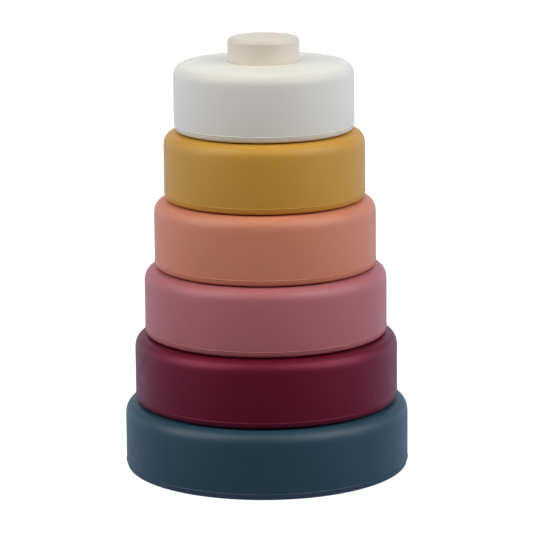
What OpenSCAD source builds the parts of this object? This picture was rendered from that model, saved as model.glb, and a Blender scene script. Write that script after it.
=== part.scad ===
// Stacking ring toy: a drum-shaped base with a fixed post, and five hollow rings that lift
// off it, each a little smaller than the piece below.
// The base and every ring are two mouldings: a deep shell, and a shallow cover that closes it
// from below and meets it at a fine seam just above the foot.
// +Z is up the post. The origin is the middle of the base's underside.

/* [Stack] */
// Diameter of the base
base_d = 120; // [110:1:150]
// How much smaller each ring's diameter is than that of the piece below it
step_d = 8.9; // [6:0.1:10]
// Height of the base and of each ring
tier_h = 28.8; // [26:0.1:36]
// How far the deck rises towards its centre hole
crown_h = 0.5; // [0.1:0.1:0.9]

/* [Outline of each piece] */
// Radius of the rounded shoulder round the top
shoulder_r = 5; // [3.4:0.1:6]
// Radius of the rounded foot round the bottom
foot_r = 2; // [1.2:0.1:2]
// Height of the shadow gap under the edge of each foot
foot_gap = 0.5; // [0.2:0.1:0.5]
// Height of the seam between shell and cover
seam_h = 3.15; // [2.9:0.05:3.2]
// How far the cover's lip stands proud at the seam
seam_lip = 0.15; // [0.05:0.05:0.3]

/* [Walls] */
// Thickness of the shell's outer wall and deck
wall_t = 2.4; // [2:0.1:2.8]
// Thickness of the sleeve round the centre hole
sleeve_t = 2; // [1.6:0.1:2.4]
// Thickness of the cover's plate
plate_t = 2; // [1.8:0.1:2.2]
// Number of stiffening ribs under each deck
rib_count = 6; // [3:1:9]

/* [Post] */
// Diameter of the post
post_d = 30; // [28:0.5:32]
// Height of the post above the top ring
post_reveal = 10.6; // [6:0.1:16]
// Radius of the post's top edge
post_edge_r = 2; // [1:0.1:2.2]
// Radial clearance between the post and each ring
ring_clearance = 0.15; // [0.1:0.05:0.4]

/* [Screws] */
// Number of screws that clamp the base cover, the post's flange and the base shell
screw_count = 3; // [3:1:4]
// Length of each screw below its head
screw_l = 16; // [12:1:18]

/* [Hidden] */
$fn = 96;
ring_names = ["burgundy", "rose", "peach", "mustard", "white"];
ring_colours = [
    [0.34, 0.09, 0.16], [0.66, 0.38, 0.39], [0.80, 0.50, 0.39], [0.77, 0.57, 0.22], [0.87, 0.86, 0.83]
];
base_colour = [0.18, 0.28, 0.34];
post_colour = [0.86, 0.83, 0.74];
screw_colour = [0.62, 0.63, 0.64];
ring_count = len(ring_names);

fit_gap = 0.1;          // gap between a locating ring and the wall that it fits
over = 1;               // how far a cutting shape runs past what it cuts
post_r = post_d / 2;
bore_r = post_r + ring_clearance;
post_top = (ring_count + 1) * tier_h + post_reveal;

recess_h = 1.2;         // depth of the recess inside the foot rim
plate_top = recess_h + plate_t;
foot_w = 8;             // width of the foot rim, shadow gap included
gap_w = 4.5;            // how far the shadow gap reaches in under the foot rim
seat_w = foot_w + 0.5;  // flat width of a deck that the next piece's foot needs
bore_chamfer = 0.5;     // chamfer round the top of each centre hole
entry_r = 1;            // rounding round the bottom of each ring's centre hole

spigot_t = 1.8;         // the cover's ring that locates it inside the outer wall
spigot_top = 6.5;
collar_t = 1.5;         // the cover's ring that locates the sleeve
collar_top = 5.5;
rib_t = 1.6;
rib_h = 8;              // depth of a rib below the deck
rib_inset = 1.2;        // how far a rib runs into the walls that it joins

post_wall = 2.4;
flange_r = post_r + 11;
flange_t = 3;
flange_z = 6.4;         // height of the flange's underside
plug_t = 2;             // the base cover's ring that fits inside the hollow post
plug_top = 12;
socket_gap = 0.05;      // gap between the post and the base's socket
socket_t = 2.4;

screw_circle_r = post_r + 6.2;
screw_seat_z = 4.4;     // height of the face that each screw head bears on
screw_tip_z = screw_seat_z + screw_l;
screw_r = 1.4;
screw_head_r = 2.8;
screw_head_h = 2;
pilot_r = 1.45;
clear_r = 1.7;          // screw holes in the cover and the flange
well_r = 3.1;           // bore of a screw well
well_t = 1.5;
boss_r = 3.4;
cross_w = 0.8;          // width of a screw's cross recess
cross_l = 3.2;
cross_h = 1.1;

function tier_r(k) = (base_d - k * step_d) / 2;

// A section from r0 to r1 and from z0 to z1, with its top outer corner rounded.
module shouldered(r0, r1, z0, z1, round_r) {
    difference() {
        translate([r0, z0]) square([r1 - r0, z1 - z0]);
        difference() {
            translate([r1 - round_r, z1 - round_r]) square(round_r + over);
            translate([r1 - round_r, z1 - round_r]) circle(round_r);
        }
    }
}

// The rounded corner that takes an edge off: a square less a circle, at the section's own origin.
module corner_cut(round_r) {
    difference() {
        square(round_r);
        circle(round_r);
    }
}

// Section of a deck's crown, which rises from the seat of the next piece to the centre hole.
module crown_section(hole_r, k) {
    seat_r = tier_r(k + 1) - seat_w;
    polygon([
        [hole_r, tier_h - bore_chamfer],
        [hole_r, tier_h + crown_h - bore_chamfer],
        [hole_r + bore_chamfer, tier_h + crown_h],
        [seat_r, tier_h],
        [seat_r, tier_h - bore_chamfer]
    ]);
}

// A shell: outer wall, rounded shoulder, deck, and a sleeve down to sleeve_z round the centre hole.
module shell_section(k, hole_r, sleeve_w, sleeve_z) {
    r = tier_r(k);
    difference() {
        shouldered(hole_r, r, seam_h, tier_h, shoulder_r);
        shouldered(hole_r + sleeve_w, r - wall_t, seam_h - over, tier_h - wall_t, shoulder_r - wall_t);
        translate([hole_r - over, seam_h - over])
            square([sleeve_w + over + fit_gap, sleeve_z - seam_h + over]);
        translate([hole_r - over, tier_h - bore_chamfer])
            square([over + bore_chamfer, bore_chamfer + over]);
    }
    crown_section(hole_r, k);
}

// The ribs under a deck, each running a little into the sleeve, the outer wall and the deck.
module ribs(k, sleeve_r) {
    for (i = [0 : rib_count - 1])
        rotate([90, 0, (i + 0.5) * 360 / rib_count])
            linear_extrude(height = rib_t, center = true)
                shouldered(sleeve_r - rib_inset, tier_r(k) - rib_inset, tier_h - wall_t - rib_h,
                           tier_h - rib_inset, shoulder_r - rib_inset);
}

// A cover's rim: rounded foot over its shadow gap, outer edge, and the lip that stands proud at the seam.
module rim_section(k) {
    r = tier_r(k);
    difference() {
        union() {
            translate([r - foot_w, 0]) square([foot_w, seam_h]);
            polygon([[r - over, seam_h - 0.4], [r, seam_h - 0.4], [r + seam_lip, seam_h - seam_lip],
                     [r + seam_lip, seam_h], [r - over, seam_h]]);
        }
        translate([r - gap_w, -over]) square([gap_w + over, foot_gap + over]);
        translate([r - foot_r, foot_gap + foot_r]) mirror([0, 1]) corner_cut(foot_r);
    }
}

// A cover: rim, recessed plate from r0 out, and the ring that locates it in the outer wall.
module cover_section(k, r0) {
    spigot_r = tier_r(k) - wall_t - fit_gap;
    rim_section(k);
    translate([r0, recess_h]) square([spigot_r - r0, plate_t]);
    translate([spigot_r - spigot_t, recess_h]) square([spigot_t, spigot_top - recess_h]);
}

module on_screw_circle() {
    for (i = [0 : screw_count - 1])
        rotate(i * 360 / screw_count) translate([screw_circle_r, 0, 0]) children();
}

module base_shell() {
    socket_r = post_r + socket_gap;
    flange_top = flange_z + flange_t;
    color(base_colour) difference() {
        union() {
            rotate_extrude() shell_section(0, socket_r, socket_t, flange_top);
            ribs(0, socket_r + socket_t);
            on_screw_circle()
                translate([0, 0, flange_top]) cylinder(r = boss_r, h = tier_h - rib_inset - flange_top);
        }
        on_screw_circle()
            translate([0, 0, flange_z]) cylinder(r = pilot_r, h = screw_tip_z + over - flange_z);
    }
}

module base_cover() {
    plug_r = post_r - post_wall - fit_gap;
    color(base_colour) difference() {
        union() {
            rotate_extrude() {
                cover_section(0, 0);
                translate([plug_r - plug_t, recess_h]) square([plug_t, plug_top - recess_h]);
            }
            on_screw_circle()
                translate([0, 0, recess_h]) cylinder(r = well_r + well_t, h = flange_z - recess_h);
        }
        on_screw_circle() {
            translate([0, 0, -over]) cylinder(r = well_r, h = screw_seat_z + over);
            cylinder(r = clear_r, h = flange_z + over);
        }
    }
}

module post() {
    color(post_colour) difference() {
        rotate_extrude() {
            difference() {
                shouldered(0, post_r, flange_z, post_top, post_edge_r);
                translate([-over, flange_z - over])
                    square([post_r - post_wall + over, post_top - post_wall - flange_z + over]);
            }
            translate([post_r - post_wall, flange_z]) square([flange_r - post_r + post_wall, flange_t]);
        }
        on_screw_circle()
            translate([0, 0, flange_z - over]) cylinder(r = clear_r, h = flange_t + 2 * over);
    }
}

// One pan-head screw, head down, with a cross recess in its head.
module screw() {
    difference() {
        union() {
            translate([0, 0, screw_seat_z]) cylinder(r = screw_r, h = screw_l);
            translate([0, 0, screw_seat_z - screw_head_h]) cylinder(r = screw_head_r, h = screw_head_h);
        }
        for (a = [0, 90])
            rotate(a) translate([-cross_l / 2, -cross_w / 2, screw_seat_z - screw_head_h - over])
                cube([cross_l, cross_w, cross_h + over]);
    }
}

module base_screws() {
    color(screw_colour) on_screw_circle() screw();
}

module ring_shell(k) {
    color(ring_colours[k - 1]) translate([0, 0, k * tier_h]) {
        rotate_extrude() shell_section(k, bore_r, sleeve_t, plate_top);
        ribs(k, bore_r + sleeve_t);
    }
}

module ring_cover(k) {
    collar_r = bore_r + sleeve_t + fit_gap;
    color(ring_colours[k - 1]) translate([0, 0, k * tier_h]) rotate_extrude() difference() {
        union() {
            cover_section(k, bore_r);
            translate([collar_r, recess_h]) square([collar_t, collar_top - recess_h]);
        }
        translate([bore_r + entry_r, recess_h + entry_r]) rotate(180) corner_cut(entry_r);
    }
}

base_shell();
base_cover();
post();
base_screws();
for (k = [1 : ring_count]) {
    ring_shell(k);
    ring_cover(k);
}
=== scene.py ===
"""Stacking ring toy: a drum base with a fixed post, and five rings that lift off it.

The CAD frame gives each piece's place and overall size. Every moulding is rebuilt here as a
finely turned mesh with a matte moulded-plastic material; the screws stay CAD nodes.
Lengths below are in millimetres until they are turned into mesh, which is in metres.
"""

import math

import bmesh
import bpy
from mathutils import Matrix, Vector


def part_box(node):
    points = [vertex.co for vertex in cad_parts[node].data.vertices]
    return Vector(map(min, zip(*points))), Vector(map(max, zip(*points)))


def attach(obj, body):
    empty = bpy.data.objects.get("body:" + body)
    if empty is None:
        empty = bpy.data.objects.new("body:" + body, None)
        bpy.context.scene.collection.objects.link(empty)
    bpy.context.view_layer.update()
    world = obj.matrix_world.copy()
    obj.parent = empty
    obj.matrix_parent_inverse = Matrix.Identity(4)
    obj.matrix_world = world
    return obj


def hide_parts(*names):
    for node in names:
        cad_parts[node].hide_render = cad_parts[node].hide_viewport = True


MM = 0.001
TURN_STEPS = 192  # segments round every turned piece
ARC_STEPS = 12  # segments in each large rounding of an outline
SMALL_ARC_STEPS = 6  # segments in each rounding of less than LARGE_REACH
LARGE_REACH = 1.0
SHARP_ANGLE = 35  # degrees between two faces above which their edge stays sharp
MERGE_DISTANCE = 1e-7  # metres within which two points are one

# Mouldings, in millimetres. The sections follow the CAD nodes that they stand for, with a fuller
# shoulder, a leaning foot, a finer lip at the seam, and softened edges.
RINGS = ["burgundy", "rose", "peach", "mustard", "white"]
WALL = 2.4
SLEEVE = 2.0
SHOULDER = 6.2  # reach of the shoulder, whose curve is fuller than a circle
SHOULDER_FULLNESS = 2.64  # exponent of the shoulder's superellipse: 2 is a circle
CROWN = 0.5  # how far a deck rises towards its hole
SEAT = 8.5  # flat ring at a deck's edge that the next piece stands on
STEP = 4.45  # how much smaller each ring's radius is than the one below
SEAM = 3.35  # height at which shell and cover meet
LIP = 0.15  # how far the cover stands proud at the seam
LIP_SLOPE = 0.25  # width and height of the slope that leads from the seam to the lip
LIP_DROP = 0.2  # height of the lip below that slope
FOOT_LEAN = 0.6  # how far the side of the foot leans in on its way down
RING_FOOT = 1.4  # rounding of the foot of a ring
BASE_FOOT = 0.9  # rounding of the foot of the base, which is tighter
FOOT_GAP = 0.5  # height of the shadow gap under the edge of each foot
GAP_REACH = 4.5  # how far the shadow gap reaches in
FOOT_WIDTH = 8.0
RECESS = 1.2  # depth of the underside inside the foot
PLATE_TOP = 3.2
FIT_GAP = 0.1
SPIGOT = 1.8  # the cover's ring that locates it in the outer wall
SPIGOT_TOP = 6.5
COLLAR = 1.5  # the cover's ring that locates the sleeve
COLLAR_TOP = 5.5

# Roundings of the mouldings, in millimetres.
SEAM_EDGE = 0.12  # a shell's outer edge at the seam
LIP_EDGE = 0.05  # under the lip
GAP_EDGE = 0.15  # where the shadow gap meets the surface that the foot stands on
RIM_EDGE = 0.4  # a foot's inner edge
SPIGOT_EDGE = 0.5  # the top outer edge of a locating ring that fits inside a wall
COLLAR_EDGE = 0.4  # the top inner edge of a collar
SOFT_EDGE = 0.3  # other outer edges
CROWN_BLEND = 3.0  # where a deck turns up towards its hole
HOLE_ENTRY = 1.0  # the bottom of a ring's hole
INSIDE_CORNER = 0.5
DECK_CORNER = 1.0  # where a sleeve meets the deck above it
POST_CORNER = 1.5  # inside the post's closed top

# Post, socket and screws.
POST_RADIUS = 15.0
POST_EDGE = 2.05  # rounding of the post's top edge
BORE_CLEARANCE = 0.15  # gap between the post and a ring
SOCKET_CLEARANCE = 0.05  # gap between the post and the base's socket
SOCKET_SLEEVE = 2.4
FLANGE = 3.0  # thickness of the flange at the post's foot
PLUG = 2.0  # thickness of the base cover's ring that fits inside the post
PLUG_TOP = 12.0
SCREWS = 3
SCREW_CIRCLE = 21.2  # radius at which the screws stand
SCREW_SEAT = 4.4  # height of the faces that the screw heads bear on
SCREW_HOLE = 1.7
WELL = 3.1  # radius of the bore that each screw head sits in
WELL_WALL = 1.5
OVERRUN = 1.0  # how far a cutting solid runs past what it cuts

# Base colour, index of refraction and specular tint of each plastic, in linear colour.
NEUTRAL = (1.0, 1.0, 1.0)
PLASTICS = {
    "teal": ((0.0164, 0.0625, 0.1010), 1.50, NEUTRAL),
    "burgundy": ((0.105, 0.0032, 0.0175), 1.87, (1.0, 0.22, 0.38)),
    "rose": ((0.460, 0.144, 0.162), 1.53, NEUTRAL),
    "peach": ((0.650, 0.242, 0.147), 1.53, NEUTRAL),
    "mustard": ((0.605, 0.323, 0.0390), 1.50, NEUTRAL),
    "white": ((0.784, 0.802, 0.752), 1.44, NEUTRAL),
    "cream": ((0.700, 0.662, 0.560), 1.73, NEUTRAL),
}

# Surface detail of the plastics. Scales are noise cells per metre.
MOTTLE_SCALE = 35.0
MOTTLE_OCTAVES = 4.0
MOTTLE = 0.04  # how far the colour strays each way, as a fraction of itself
MARKS_SCALE = 160.0  # handling marks, which show only in the roughness
MARKS_OCTAVES = 6.0
MARKS_SWIRL = 1.5
MARKED_ROUGHNESS = (0.47, 0.53)
NOISE_SPREAD = (0.35, 0.65)  # the part of a noise's range that its values mostly fall in
RUBBED = -0.04  # change of roughness in the middle of a rounded edge
GRAIN_SCALE = 2600.0  # the mould's own fine grain
GRAIN_OCTAVES = 2.0
GRAIN_DEPTH = 0.00005  # metres
GRAIN_STRENGTH = 0.3

# Surface detail of the screws.
ZINC = (0.60, 0.62, 0.64, 1.0)
ZINC_ROUGHNESS = (0.2, 0.45)
SCUFF_SCALE = 900.0
SCUFF_OCTAVES = 5.0
SCUFF_DEPTH = 0.00004  # metres
SCUFF_STRENGTH = 0.2

# Studio. Directions are an azimuth (0 is the camera's side, 90 is +X) and an elevation, in degrees.
LIGHT_AIM = Vector((0, 0, 0.09))
LIGHT_DISTANCE = 1.6
SOFTBOXES = {  # azimuth, elevation, size in metres, radiance
    "left_key": (-68, 40, 1.5, (2.66, 2.57, 2.42)),
    "right_key": (68, 40, 1.5, (2.55, 2.49, 2.39)),
    "front_top": (0, 62, 1.1, (0.64, 0.50, 0.34)),
    "front_right": (35, 32, 0.8, (1.26, 1.22, 1.18)),
    "left_low": (-75, 8, 0.8, (0.94, 0.93, 1.13)),
    "right_low": (75, 8, 0.8, (1.24, 1.22, 1.46)),
    "rear_high": (180, 45, 1.3, (0.87, 0.87, 0.93)),
}
GLOW_BELOW = (0.43, 0.42, 0.55)  # radiance straight down, fading to none at the horizon
GLOW_BEHIND = (0.68, 0.84, 1.06)  # a pale wall behind the toy
WALL_BAND = (0.6, 0.1)  # sine of the elevation at which that wall fades out, and is full
WALL_SIDES = (-0.2, 0.7)  # how far towards the back it starts, and is full
BACKDROP = (1.0, 1.0, 1.0)  # what the camera sees past the floor
FLOOR_GLOW = 1.0  # the floor is a light table, so that it stays white right to the back
FLOOR_REACH = 6.0  # metres from the middle of the floor to its edges
FLOOR_COLOUR = (0.3, 0.3, 0.3, 1.0)
FLOOR_ROUGHNESS = 0.9

# Camera, in metres, degrees and lens millimetres.
CAMERA_AT = (0.00043, -1.2222, 0.34788)
CAMERA_DROP = 12.11  # how far it looks down from level
CAMERA_ROLL = -0.54
LENS = 200
SENSOR = 36
FARTHEST = 100  # far end of what the camera can see


# ---------------------------------------------------------------- outlines


def rounded_outline(corners):
    """Points of an outline whose corners are rounded.

    Each corner is (radius, height, reach of its rounding, fullness), the last two optional.
    The result is a list of (radius, height, edge), where edge is 1 in the middle of a rounding
    and 0 on the flats.
    """
    points = []
    count = len(corners)
    defaults = (0.0, 0.0, 0.0, 2.0)
    for i, corner in enumerate(corners):
        r, z, reach, fullness = corner + defaults[len(corner):]
        if reach == 0.0:
            points.append((r, z, 0.0))
            continue
        here = Vector((r, z))
        back = (Vector(corners[i - 1][:2]) - here).normalized()
        ahead = (Vector(corners[(i + 1) % count][:2]) - here).normalized()
        steps = ARC_STEPS if reach >= LARGE_REACH else SMALL_ARC_STEPS
        for s in range(steps + 1):
            angle = s / steps * math.pi / 2
            along_back = 1 - math.sin(angle) ** (2 / fullness)
            along_ahead = 1 - math.cos(angle) ** (2 / fullness)
            p = here + (back * along_back + ahead * along_ahead) * reach
            points.append((p.x, p.y, math.sin(2 * angle)))
    return points


def shell_outline(outer, top, hole, sleeve, sleeve_end, seam):
    """Outline of a shell: outer wall, shoulder, crowned deck, hole, sleeve, and inside walls."""
    seat = outer - STEP - SEAT
    return rounded_outline([
        (outer - WALL, seam),
        (outer, seam, SEAM_EDGE),
        (outer, top, SHOULDER, SHOULDER_FULLNESS),
        (seat, top, CROWN_BLEND),
        (hole, top + CROWN, SOFT_EDGE),
        (hole, sleeve_end),
        (hole + sleeve, sleeve_end),
        (hole + sleeve, top - WALL, DECK_CORNER),
        (outer - WALL, top - WALL, SHOULDER - WALL, SHOULDER_FULLNESS),
    ])


def cover_rim(outer, base, foot):
    """Corners of a cover's rim, from its locating ring round the lip and foot to the recess.

    The rim's foot has its own rounding, in millimetres.
    """
    inside = outer - WALL - FIT_GAP
    seam = base + SEAM
    return [
        (inside - SPIGOT, base + PLATE_TOP, INSIDE_CORNER),
        (inside - SPIGOT, base + SPIGOT_TOP, SOFT_EDGE),
        (inside, base + SPIGOT_TOP, SPIGOT_EDGE),
        (inside, seam),
        (outer + LIP - LIP_SLOPE, seam),
        (outer + LIP, seam - LIP_SLOPE),
        (outer, seam - LIP_SLOPE - LIP_DROP, LIP_EDGE),
        (outer - FOOT_LEAN, base + FOOT_GAP, foot),
        (outer - GAP_REACH, base + FOOT_GAP),
        (outer - GAP_REACH, base, GAP_EDGE),
        (outer - FOOT_WIDTH, base, RIM_EDGE),
        (outer - FOOT_WIDTH, base + RECESS, RIM_EDGE),
    ]


def ring_cover_outline(outer, base, hole, sleeve):
    """Outline of a ring's cover: the rim, the plate, and the collar round the sleeve."""
    collar = hole + sleeve + FIT_GAP
    return rounded_outline(cover_rim(outer, base, RING_FOOT) + [
        (hole, base + RECESS, HOLE_ENTRY),
        (hole, base + PLATE_TOP),
        (collar, base + PLATE_TOP),
        (collar, base + COLLAR_TOP, COLLAR_EDGE),
        (collar + COLLAR, base + COLLAR_TOP, SOFT_EDGE),
        (collar + COLLAR, base + PLATE_TOP, INSIDE_CORNER),
    ])


# ---------------------------------------------------------------- meshes


def turned(name, outline, closed=True):
    """A mesh object turned about the Z axis from an outline in millimetres.

    A closed outline makes a ring-shaped piece. An open one starts and ends on the axis. The
    outline's edge values go into the mesh's "edge" attribute, which the materials read.
    """
    mesh = bpy.data.meshes.new(name)
    verts, faces, edge, rows = [], [], [], []
    for r, z, e in outline:
        steps = TURN_STEPS if r > 0 else 1
        rows.append([len(verts) + s for s in range(steps)])
        for s in range(steps):
            a = 2 * math.pi * s / steps
            verts.append((r * MM * math.cos(a), r * MM * math.sin(a), z * MM))
            edge.append(e)
    pairs = list(zip(rows, rows[1:] + rows[:1])) if closed else list(zip(rows, rows[1:]))
    for low, high in pairs:
        for s in range(TURN_STEPS):
            t = (s + 1) % TURN_STEPS
            if len(low) == 1:
                faces.append((low[0], high[t], high[s]))
            elif len(high) == 1:
                faces.append((low[s], low[t], high[0]))
            else:
                faces.append((low[s], low[t], high[t], high[s]))
    mesh.from_pydata(verts, [], faces)
    mesh.attributes.new("edge", "FLOAT", "POINT").data.foreach_set("value", edge)
    piece = bpy.data.objects.new(name, mesh)
    bpy.context.scene.collection.objects.link(piece)
    finish_mesh(mesh)
    return piece


def finish_mesh(mesh):
    """Merges doubled points, turns the faces outwards, and shades smooth between sharp edges."""
    bm = bmesh.new()
    bm.from_mesh(mesh)
    bmesh.ops.remove_doubles(bm, verts=bm.verts, dist=MERGE_DISTANCE)
    bmesh.ops.recalc_face_normals(bm, faces=bm.faces)
    bm.to_mesh(mesh)
    bm.free()
    mesh.shade_smooth()
    mesh.set_sharp_from_angle(angle=math.radians(SHARP_ANGLE))


def at_screws(name, outline):
    """Copies of one turned solid at each screw, as one object to add or to cut with."""
    solids = turned(name, [(r, z, 0.0) for r, z in outline], closed=False)
    together = bmesh.new()
    for i in range(SCREWS):
        copy = solids.data.copy()
        copy.transform(Matrix.Rotation(2 * math.pi * i / SCREWS, 4, "Z")
                       @ Matrix.Translation((SCREW_CIRCLE * MM, 0, 0)))
        together.from_mesh(copy)
        bpy.data.meshes.remove(copy)
    together.to_mesh(solids.data)
    together.free()
    return solids


def combine(piece, tool, operation):
    """Adds a tool's solids to a piece, or cuts them from it, and deletes the tool."""
    change = piece.modifiers.new("combine", "BOOLEAN")
    change.operation = operation
    change.solver = "EXACT"
    change.object = tool
    depsgraph = bpy.context.evaluated_depsgraph_get()
    mesh = bpy.data.meshes.new_from_object(piece.evaluated_get(depsgraph))
    piece.modifiers.clear()
    old, piece.data = piece.data, mesh
    bpy.data.meshes.remove(old)
    bpy.data.objects.remove(tool)
    finish_mesh(mesh)


# ---------------------------------------------------------------- materials


def node(tree, kind, inputs=None, **settings):
    """A new shader node with its settings, and with its inputs set or linked."""
    made = tree.nodes.new(kind)
    for key, value in settings.items():
        setattr(made, key, value)
    for key, value in (inputs or {}).items():
        if isinstance(value, bpy.types.NodeSocket):
            tree.links.new(value, made.inputs[key])
        else:
            made.inputs[key].default_value = value
    return made


def empty_material(name):
    """A new material and its empty node tree."""
    material = bpy.data.materials.new(name)
    material.use_nodes = True
    material.node_tree.nodes.clear()
    return material, material.node_tree


def noise(tree, point, scale, octaves, swirl=0.0):
    """The value of a noise texture at a point."""
    return node(tree, "ShaderNodeTexNoise", {
        "Vector": point, "Scale": scale, "Detail": octaves, "Distortion": swirl,
    }).outputs["Fac"]


def moulded_plastic(name, colour, ior, tint):
    """Matte plastic: a fine moulded grain, slight mottling, handling marks, and rubbed edges.

    The edge attribute of the turned meshes says where a surface is rounded, and so rubbed.
    """
    material, tree = empty_material(name)
    point = node(tree, "ShaderNodeTexCoord").outputs["Object"]
    edge = node(tree, "ShaderNodeAttribute", attribute_name="edge").outputs["Fac"]

    mottle = noise(tree, point, MOTTLE_SCALE, MOTTLE_OCTAVES)
    marks = noise(tree, point, MARKS_SCALE, MARKS_OCTAVES, MARKS_SWIRL)
    grain = noise(tree, point, GRAIN_SCALE, GRAIN_OCTAVES)

    shade = node(tree, "ShaderNodeMix", data_type="RGBA")
    tree.links.new(mottle, shade.inputs["Factor"])
    shade.inputs["A"].default_value = [c * (1 - MOTTLE) for c in colour] + [1]
    shade.inputs["B"].default_value = [min(c * (1 + MOTTLE), 1.0) for c in colour] + [1]

    rough = node(tree, "ShaderNodeMapRange", {
        "Value": marks,
        "From Min": NOISE_SPREAD[0], "From Max": NOISE_SPREAD[1],
        "To Min": MARKED_ROUGHNESS[0], "To Max": MARKED_ROUGHNESS[1],
    })
    rubbed = node(tree, "ShaderNodeMath", {0: edge, 1: RUBBED, 2: rough.outputs["Result"]},
                  operation="MULTIPLY_ADD")
    bump = node(tree, "ShaderNodeBump", {
        "Strength": GRAIN_STRENGTH, "Distance": GRAIN_DEPTH, "Height": grain,
    })
    surface = node(tree, "ShaderNodeBsdfPrincipled", {
        "Base Color": shade.outputs["Result"],
        "Roughness": rubbed.outputs["Value"],
        "IOR": ior,
        "Specular Tint": (*tint, 1),
        "Normal": bump.outputs["Normal"],
    })
    node(tree, "ShaderNodeOutputMaterial", {"Surface": surface.outputs["BSDF"]})
    return material


def plated_steel(name):
    """Bright zinc-plated steel, lightly scuffed, for the screws."""
    material, tree = empty_material(name)
    point = node(tree, "ShaderNodeTexCoord").outputs["Object"]
    scuff = noise(tree, point, SCUFF_SCALE, SCUFF_OCTAVES)
    rough = node(tree, "ShaderNodeMapRange", {
        "Value": scuff, "To Min": ZINC_ROUGHNESS[0], "To Max": ZINC_ROUGHNESS[1],
    })
    bump = node(tree, "ShaderNodeBump", {
        "Strength": SCUFF_STRENGTH, "Distance": SCUFF_DEPTH, "Height": scuff,
    })
    surface = node(tree, "ShaderNodeBsdfPrincipled", {
        "Base Color": ZINC, "Metallic": 1.0,
        "Roughness": rough.outputs["Result"], "Normal": bump.outputs["Normal"],
    })
    node(tree, "ShaderNodeOutputMaterial", {"Surface": surface.outputs["BSDF"]})
    return material


# ---------------------------------------------------------------- pieces


def place(piece, body, replaced, material):
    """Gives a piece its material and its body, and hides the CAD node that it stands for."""
    piece.data.materials.clear()
    piece.data.materials.append(material)
    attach(piece, body)
    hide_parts(replaced)


def build_ring(colour, material):
    """One ring: its shell and its cover."""
    body = colour + "_ring"
    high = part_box(body + "_shell")[1]
    outer, top = high.x / MM, high.z / MM - CROWN
    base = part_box(body + "_cover")[0].z / MM
    hole = POST_RADIUS + BORE_CLEARANCE
    outline = shell_outline(outer, top, hole, SLEEVE, base + PLATE_TOP, base + SEAM)
    shell = turned(body + "_upper", outline)
    place(shell, body, body + "_shell", material)
    cover = turned(body + "_lower", ring_cover_outline(outer, base, hole, SLEEVE))
    place(cover, body, body + "_cover", material)


def build_base(material):
    """The base's shell, and its cover with the wells that the screws stand in."""
    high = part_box("base_shell")[1]
    outer, top = high.x / MM, high.z / MM - CROWN
    flange_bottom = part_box("post")[0].z / MM
    hole = POST_RADIUS + SOCKET_CLEARANCE
    outline = shell_outline(outer, top, hole, SOCKET_SLEEVE, flange_bottom + FLANGE, SEAM)
    shell = turned("base_upper", outline)
    place(shell, "base", "base_shell", material)

    plug = POST_RADIUS - WALL - FIT_GAP
    outline = rounded_outline([
        (0, RECESS),
        (0, PLATE_TOP),
        (plug - PLUG, PLATE_TOP, INSIDE_CORNER),
        (plug - PLUG, PLUG_TOP, SOFT_EDGE),
        (plug, PLUG_TOP, SPIGOT_EDGE),
        (plug, PLATE_TOP),
    ] + cover_rim(outer, 0, BASE_FOOT))
    cover = turned("base_lower", outline[1:] + outline[:1], closed=False)
    tower, plate_middle = WELL + WELL_WALL, (RECESS + PLATE_TOP) / 2
    towers = at_screws("towers", [
        (0, plate_middle), (tower, plate_middle), (tower, flange_bottom), (0, flange_bottom),
    ])
    combine(cover, towers, "UNION")
    below, above = -OVERRUN, flange_bottom + OVERRUN
    wells = at_screws("wells", [
        (0, below), (WELL, below), (WELL, SCREW_SEAT), (SCREW_HOLE, SCREW_SEAT),
        (SCREW_HOLE, above), (0, above),
    ])
    combine(cover, wells, "DIFFERENCE")
    place(cover, "base", "base_cover", material)


def build_post(material):
    """The post, closed at the top and hollow below, with the flange that the base clamps."""
    low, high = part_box("post")
    bottom, top, flange = low.z / MM, high.z / MM, high.x / MM
    inside = POST_RADIUS - WALL
    outline = rounded_outline([
        (0, top),
        (0, top - WALL),
        (inside, top - WALL, POST_CORNER),
        (inside, bottom),
        (flange, bottom, SOFT_EDGE),
        (flange, bottom + FLANGE, SOFT_EDGE),
        (POST_RADIUS, bottom + FLANGE),
        (POST_RADIUS, top, POST_EDGE),
    ])
    post = turned("post_moulding", outline[1:] + outline[:1], closed=False)
    place(post, "base", "post", material)


# ---------------------------------------------------------------- stage


def build_floor():
    """A pale light table. Only the camera sees it: the world's lower half lights the toy."""
    mesh = bpy.data.meshes.new("floor")
    corners = [(-FLOOR_REACH, -FLOOR_REACH), (FLOOR_REACH, -FLOOR_REACH),
               (FLOOR_REACH, FLOOR_REACH), (-FLOOR_REACH, FLOOR_REACH)]
    mesh.from_pydata([(x, y, 0) for x, y in corners], [], [(0, 1, 2, 3)])
    floor = bpy.data.objects.new("floor", mesh)
    bpy.context.scene.collection.objects.link(floor)
    floor.visible_diffuse = floor.visible_glossy = floor.visible_shadow = False
    material, tree = empty_material("pale_floor")
    surface = node(tree, "ShaderNodeBsdfPrincipled", {
        "Base Color": FLOOR_COLOUR, "Roughness": FLOOR_ROUGHNESS, "Specular IOR Level": 0.0,
        "Emission Color": (*BACKDROP, 1), "Emission Strength": FLOOR_GLOW,
    })
    node(tree, "ShaderNodeOutputMaterial", {"Surface": surface.outputs["BSDF"]})
    mesh.materials.append(material)


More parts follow.
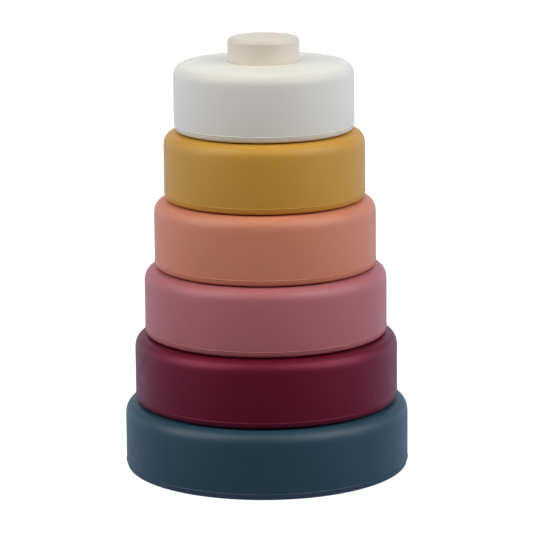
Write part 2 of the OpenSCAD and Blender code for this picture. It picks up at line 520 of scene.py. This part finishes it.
def softbox(name, azimuth, elevation, size, radiance):
    """A square area light that faces the toy."""
    a, e = math.radians(azimuth), math.radians(elevation)
    away = Vector((math.sin(a) * math.cos(e), -math.cos(a) * math.cos(e), math.sin(e)))
    strength = max(radiance)
    light = bpy.data.lights.new(name, "AREA")
    light.size = size
    light.energy = strength * math.pi * size * size
    light.color = [c / strength for c in radiance]
    lamp = bpy.data.objects.new(name, light)
    bpy.context.scene.collection.objects.link(lamp)
    lamp.location = LIGHT_AIM + away * LIGHT_DISTANCE
    lamp.rotation_mode = "QUATERNION"
    lamp.rotation_quaternion = (-away).to_track_quat("-Z", "Y")


def build_world():
    """The studio's own light: a glow from below, a pale wall behind, and a white backdrop."""
    world = bpy.data.worlds.new("studio")
    bpy.context.scene.world = world
    world.use_nodes = True
    tree = world.node_tree
    direction = node(tree, "ShaderNodeTexCoord").outputs["Generated"]
    axes = node(tree, "ShaderNodeSeparateXYZ", {"Vector": direction})
    up, back = axes.outputs["Z"], axes.outputs["Y"]

    def fade(value, start, end):
        ends = {"Value": value, "From Min": start, "From Max": end}
        return node(tree, "ShaderNodeMapRange", ends,
                    interpolation_type="SMOOTHSTEP").outputs["Result"]

    def tinted(value, colour):
        return node(tree, "ShaderNodeVectorMath", {0: colour, "Scale": value},
                    operation="SCALE").outputs["Vector"]

    steepness = node(tree, "ShaderNodeMath", {0: up}, operation="ABSOLUTE").outputs["Value"]
    wall = node(tree, "ShaderNodeMath", {
        0: fade(steepness, *WALL_BAND), 1: fade(back, *WALL_SIDES),
    }, operation="MULTIPLY").outputs["Value"]
    seen = node(tree, "ShaderNodeLightPath").outputs["Is Camera Ray"]
    light = tinted(fade(up, 0.0, -1.0), GLOW_BELOW)
    for more in (tinted(wall, GLOW_BEHIND), tinted(seen, BACKDROP)):
        light = node(tree, "ShaderNodeVectorMath", {0: light, 1: more},
                     operation="ADD").outputs["Vector"]
    tree.links.new(light, tree.nodes["Background"].inputs["Color"])


def build_camera():
    """A long-lens camera, a little above the toy and looking slightly down at it."""
    camera = bpy.data.objects.new("camera", bpy.data.cameras.new("camera"))
    bpy.context.scene.collection.objects.link(camera)
    camera.data.lens = LENS
    camera.data.sensor_width = SENSOR
    camera.data.clip_end = FARTHEST
    tilt = Matrix.Rotation(math.radians(90 - CAMERA_DROP), 4, "X")
    roll = Matrix.Rotation(math.radians(CAMERA_ROLL), 4, "Z")
    camera.matrix_world = Matrix.Translation(CAMERA_AT) @ tilt @ roll
    bpy.context.scene.camera = camera


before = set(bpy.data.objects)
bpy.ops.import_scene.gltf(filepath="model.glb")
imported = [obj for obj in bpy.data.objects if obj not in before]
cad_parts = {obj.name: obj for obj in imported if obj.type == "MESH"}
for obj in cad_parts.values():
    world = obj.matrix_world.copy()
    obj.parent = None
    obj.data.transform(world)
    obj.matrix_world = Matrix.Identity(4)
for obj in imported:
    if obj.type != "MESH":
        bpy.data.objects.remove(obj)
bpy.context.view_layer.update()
bpy.context.scene.view_settings.view_transform = "Standard"

plastics = {name: moulded_plastic("matte_" + name, *look) for name, look in PLASTICS.items()}
build_base(plastics["teal"])
build_post(plastics["cream"])
for colour in RINGS:
    build_ring(colour, plastics[colour])
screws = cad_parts["base_screws"]
screws.data.materials.clear()
screws.data.materials.append(plated_steel("plated_screws"))
build_floor()
build_world()
for name, light in SOFTBOXES.items():
    softbox(name, *light)
build_camera()
